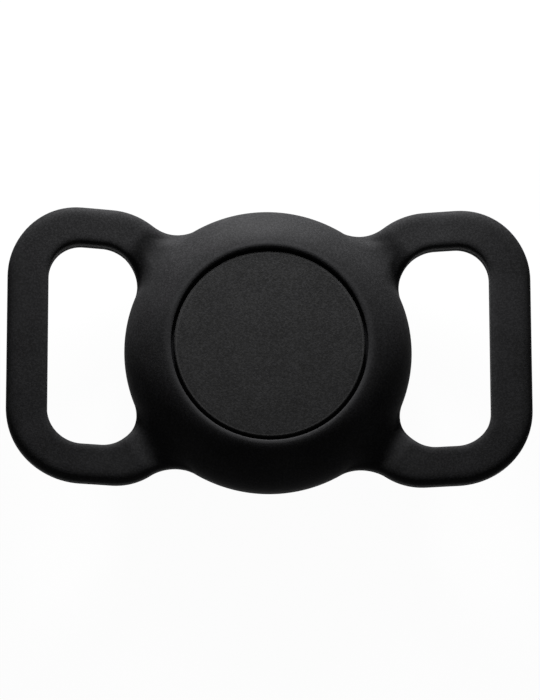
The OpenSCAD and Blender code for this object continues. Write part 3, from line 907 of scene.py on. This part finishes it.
def lathe(profile, segments):
    """Points and faces of a profile of radius and height, turned about the Z axis."""
    turns = np.linspace(0, 2 * math.pi, segments, endpoint=False)
    points = []
    rings = []
    for radius, height in profile:
        start = len(points)
        if radius < ON_AXIS:
            points.append((0.0, 0.0, height))
            rings.append([start] * segments)
        else:
            points.extend((radius * math.cos(t), radius * math.sin(t), height) for t in turns)
            rings.append(range(start, start + segments))
    faces = []
    for ring, next_ring in zip(rings, rings[1:]):
        for i in range(segments):
            j = (i + 1) % segments
            corners = (ring[i], ring[j], next_ring[j], next_ring[i])
            faces.append(tuple(dict.fromkeys(corners)))
    return points, faces


def sector(inner, outer, low, high, middle, span):
    """Points and faces of a block that is part of a ring."""
    points = []
    for turn in np.linspace(middle - span / 2, middle + span / 2, TAB_STEPS + 1):
        for radius, height in ((inner, low), (outer, low), (outer, high), (inner, high)):
            points.append((radius * math.cos(turn), radius * math.sin(turn), height))
    faces = [(0, 1, 2, 3), tuple(4 * TAB_STEPS + k for k in (3, 2, 1, 0))]
    for i in range(TAB_STEPS):
        for k in range(4):
            a, b = 4 * i + k, 4 * i + (k + 1) % 4
            faces.append((b, a, a + 4, b + 4))
    return points, faces


def cover_mesh(tag):
    """The cover: a disc with a rounded edge and a recess, its skirt and its bayonet tabs."""
    top = COVER_HIGH.z
    radius = COVER_HIGH.x
    under = top - tag.cover_thickness
    recess = under + tag.pad_recess_depth
    skirt_end = COVER_LOW.z
    skirt_in = tag.skirt_radius - tag.skirt_wall
    edge_centre = (radius - tag.cover_edge, top - tag.cover_edge)
    profile = [
        (0, recess),
        (tag.pad_recess_radius, recess),
        (tag.pad_recess_radius, under),
        (skirt_in, under),
        (skirt_in, skirt_end),
        (tag.skirt_radius, skirt_end),
        (tag.skirt_radius, under),
        (radius - tag.cover_chamfer, under),
        (radius, under + tag.cover_chamfer),
        *arc(edge_centre, tag.cover_edge, 0, 90, COVER_EDGE_STEPS),
        *((radius * share, top) for share in COVER_RINGS),
        (0, top),
    ]
    tab_in = tag.skirt_radius - tag.skirt_wall / 2
    tab_out = tag.skirt_radius + tag.tab_reach
    tab_low = skirt_end + tag.tab_lift
    tab_high = tab_low + tag.tab_height
    parts = [lathe(profile, COVER_SEGMENTS)]
    for i in range(tag.tab_count):
        middle = 2 * math.pi * i / tag.tab_count
        parts.append(sector(tab_in, tab_out, tab_low, tab_high, middle, tag.tab_angle))
    points, faces = [], []
    for part_points, part_faces in parts:
        base = len(points)
        points.extend(part_points)
        faces.extend(tuple(base + corner for corner in face) for face in part_faces)
    return closed_mesh("cover_disc", points, faces)


def put(name, data):
    """A new object of this name and data, linked to the scene."""
    made = bpy.data.objects.new(name, data)
    bpy.context.scene.collection.objects.link(made)
    return made


def place(name, mesh, material, body, stands_for):
    """Puts a finished mesh in the scene, on its body and in the place of a CAD node."""
    mesh.materials.append(material)
    mesh.shade_smooth()
    piece = put(name, mesh)
    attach(piece, body)
    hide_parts(stands_for)
    return piece


def dress(material, *nodes):
    """Gives CAD nodes their material."""
    for name in nodes:
        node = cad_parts[name]
        node.data.materials.clear()
        node.data.materials.append(material)


class HOLDER_OT_body(Operator):
    """Makes the silicone holder as one fine skin"""

    bl_idname = "holder.body"
    bl_label = "Holder body"

    def execute(self, context):
        scene = context.scene
        mesh = holder_mesh(scene.holder_sizes, scene.tag_sizes)
        material = silicone(scene.holder_finish, scene.holder_sizes)
        place("holder_skin", mesh, material, "holder", "holder_body")
        return {"FINISHED"}


class HOLDER_OT_cover(Operator):
    """Makes the tag's cover with its rounded edge, skirt and tabs"""

    bl_idname = "holder.cover"
    bl_label = "Battery cover"

    def execute(self, context):
        scene = context.scene
        mesh = cover_mesh(scene.tag_sizes)
        material = cover_black(scene.holder_finish, scene.tag_sizes)
        piece = place("cover_disc", mesh, material, "cover", "battery_cover")
        piece.data.set_sharp_from_angle(angle=CREASE_ANGLE)
        return {"FINISHED"}


class HOLDER_OT_tag(Operator):
    """Finishes the tag's shell, housing and seals"""

    bl_idname = "holder.tag"
    bl_label = "Tag housing"

    def execute(self, context):
        finish = context.scene.inner_finish
        shell = smooth_plastic("shell_plastic", finish.shell, finish.shell_roughness)
        housing = smooth_plastic(
            "housing_plastic",
            finish.shell,
            finish.housing_roughness,
            HOUSING_GRAIN_DEPTH,
            finish.housing_gloss,
        )
        dress(shell, "tag_shell")
        dress(housing, "rear_housing")
        dress(rubber("seal_rubber", finish.seal, finish.rubber_roughness), "cover_seal")
        dress(rubber("pad_foam", finish.pad, finish.rubber_roughness), "cover_pad")
        return {"FINISHED"}


class HOLDER_OT_cell(Operator):
    """Finishes the coin cell and its contacts"""

    bl_idname = "holder.cell"
    bl_label = "Coin cell"

    def execute(self, context):
        finish = context.scene.inner_finish
        steel = turned_metal("cell_steel", finish.cell, finish.cell_roughness)
        plastic = smooth_plastic("gasket_plastic", finish.gasket, finish.gasket_roughness)
        gold = turned_metal("contact_gold", finish.contact, finish.contact_roughness)
        dress(steel, "cell_can", "cell_cap")
        dress(plastic, "cell_gasket")
        dress(gold, "side_contacts", "centre_contact")
        return {"FINISHED"}


class HOLDER_OT_electronics(Operator):
    """Finishes the board, what is on it, the antennas and the speaker"""

    bl_idname = "holder.electronics"
    bl_label = "Electronics"

    def execute(self, context):
        finish = context.scene.inner_finish
        green = solder_mask("board_green", finish.board, finish.board_roughness)
        black = smooth_plastic("chip_black", finish.chip, finish.chip_roughness, CHIP_GRAIN_DEPTH)
        tin = turned_metal("tinned", finish.tin, finish.tin_roughness)
        ceramic = smooth_plastic("ceramic", finish.ceramic, finish.ceramic_roughness)
        steel = turned_metal("yoke_steel", finish.yoke, finish.yoke_roughness)
        copper = wound_copper("copper", finish.copper, finish.copper_roughness)
        dress(green, "circuit_board")
        dress(black, "radio_chip", "memory_chip", "motion_sensor")
        dress(tin, "shield_can", "crystals")
        dress(ceramic, "chip_capacitors")
        dress(steel, "magnet_yoke", "speaker_magnet", "pole_plate")
        dress(copper, "voice_coil", "antenna_strips")
        return {"FINISHED"}


def way_to(side, azimuth, elevation):
    """Unit vector to the +Y or -Y side, turned towards -X and raised by these angles."""
    out = math.cos(elevation)
    return Vector((-math.sin(azimuth) * out, side * math.cos(azimuth) * out, math.sin(elevation)))


class HOLDER_OT_stage(Operator):
    """Makes the camera, the lamp, a plain white floor and its surround"""

    bl_idname = "holder.stage"
    bl_label = "Stage"

    def execute(self, context):
        scene = context.scene
        stage = scene.holder_stage
        scene.camera = self.make_camera(stage)
        scene.world = self.make_world(stage)
        self.make_floor(stage)
        self.make_lamp(stage)
        scene.view_settings.view_transform = "Standard"
        return {"FINISHED"}

    @staticmethod
    def make_camera(stage):
        """A camera that looks at the object from the photograph's side."""
        data = bpy.data.cameras.new("camera")
        data.lens = stage.focal
        data.clip_start = NEAR_CLIP
        made = put("camera", data)
        aim = Vector((stage.aim_side, 0, stage.aim_height))
        way = way_to(-1, stage.azimuth, stage.elevation)
        turned = (-way).to_track_quat("-Z", "Y") @ Quaternion((0, 0, 1), stage.roll)
        made.location = aim + way * stage.distance
        made.rotation_euler = turned.to_euler()
        return made

    @staticmethod
    def make_lamp(stage):
        """A square lamp near and low behind the object, which isn't seen itself."""
        data = bpy.data.lights.new("key_lamp", "AREA")
        data.size = stage.key_size
        data.energy = stage.key_power
        made = put("key_lamp", data)
        way = way_to(1, stage.key_azimuth, stage.key_elevation)
        made.location = Vector((0, 0, stage.aim_height)) + way * stage.key_distance
        made.rotation_euler = (-way).to_track_quat("-Z", "Y").to_euler()
        made.visible_camera = False

    @staticmethod
    def make_floor(stage):
        """A wide floor that the camera sees as white, with the object's soft shadow on it."""
        corners = [(sx * FLOOR_HALF, sy * FLOOR_HALF, 0) for sx, sy in QUARTERS]
        mesh = bpy.data.meshes.new("floor")
        mesh.from_pydata(corners, [], [(0, 1, 2, 3)])
        m = MaterialMaker.material("floor_white")
        colour = m.noise(stage.speck_size).blend(stage.floor, stage.floor_speck)
        diffuse = m.add("ShaderNodeBsdfDiffuse", sockets={"Color": colour})
        white = m.add("ShaderNodeEmission", sockets={"Color": WHITE, "Strength": 1.0})
        seen = m.background_rays() * stage.white_share
        mixed = m.add("ShaderNodeMixShader", sockets={0: seen, 1: diffuse, 2: white})
        m.add("ShaderNodeOutputMaterial", sockets={"Surface": mixed})
        mesh.materials.append(m.owner)
        return put("floor", mesh)

    @staticmethod
    def make_world(stage):
        """A white backdrop that fades from the horizon up, and a dim even light on the object."""
        m = MaterialMaker(bpy.data.worlds.new("surround"))
        height = m.level(m.add("ShaderNodeTexCoord", output="Generated"))
        seen = m.background_rays() * (1 - height.over(stage.horizon, 2 * stage.horizon))
        strength = stage.surround + seen * (1 - stage.surround)
        background = m.add("ShaderNodeBackground", sockets={"Color": WHITE, "Strength": strength})
        m.add("ShaderNodeOutputWorld", sockets={"Surface": background})
        return m.owner


class HOLDER_PT_panel(Panel):
    """Lists the holder's pieces, sizes, finishes and stage."""

    bl_idname = "HOLDER_PT_panel"
    bl_label = "Strap holder"
    bl_space_type = "VIEW_3D"
    bl_region_type = "UI"
    bl_category = "Holder"

    def draw(self, context):
        for operator in OPERATORS:
            self.layout.operator(operator.bl_idname)
        for name in GROUPS:
            group = getattr(context.scene, name)
            box = self.layout.box()
            box.label(text=name.replace("_", " ").capitalize())
            for setting in group.__annotations__:
                box.prop(group, setting)


OPERATORS = (
    HOLDER_OT_stage,
    HOLDER_OT_body,
    HOLDER_OT_cover,
    HOLDER_OT_tag,
    HOLDER_OT_cell,
    HOLDER_OT_electronics,
)
GROUPS = {
    "holder_sizes": HolderSizes,
    "tag_sizes": TagSizes,
    "holder_finish": HolderFinish,
    "inner_finish": InnerFinish,
    "holder_stage": StageSettings,
}
CLASSES = (*GROUPS.values(), *OPERATORS, HOLDER_PT_panel)


def register():
    for cls in CLASSES:
        bpy.utils.register_class(cls)
    for name, group in GROUPS.items():
        setattr(bpy.types.Scene, name, PointerProperty(type=group))


def unregister():
    for name in GROUPS:
        delattr(bpy.types.Scene, name)
    for cls in reversed(CLASSES):
        bpy.utils.unregister_class(cls)


def main():
    register()
    bpy.ops.holder.stage()
    bpy.ops.holder.body()
    bpy.ops.holder.cover()
    bpy.ops.holder.tag()
    bpy.ops.holder.cell()
    bpy.ops.holder.electronics()


if __name__ == "__main__":
    main()
